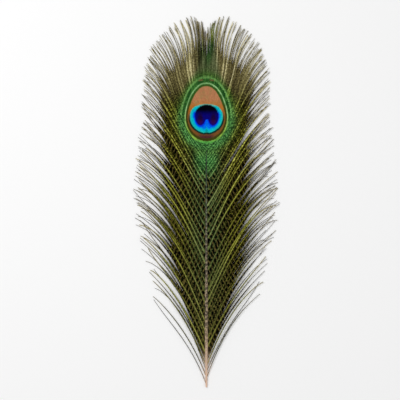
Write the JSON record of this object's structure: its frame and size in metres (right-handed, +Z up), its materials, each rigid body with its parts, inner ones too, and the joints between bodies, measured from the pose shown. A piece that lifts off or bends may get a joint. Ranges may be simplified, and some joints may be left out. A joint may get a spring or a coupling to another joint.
{
  "type": "peacock feather",
  "caption": "Peacock eye feather, cut short and lying face up: a slender arched shaft with long curving barbs on both sides and a flat vane that carries the eye.",
  "frame": {"origin": "middle of the feather's length and width, on the plane that it lies on", "axes": "+Y along the shaft from the cut quill to the tip, +X to the feather's right, +Z up out of its face"},
  "size_m": [0.1118, 0.28, 0.0051],
  "materials": {
    "feather": "fine silky barbs with an iridescent gleam, bronze and olive green, with a blue and copper eye"
  },
  "bodies": {
    "root": {"feather": "feather"}
  },
  "joints": []
}
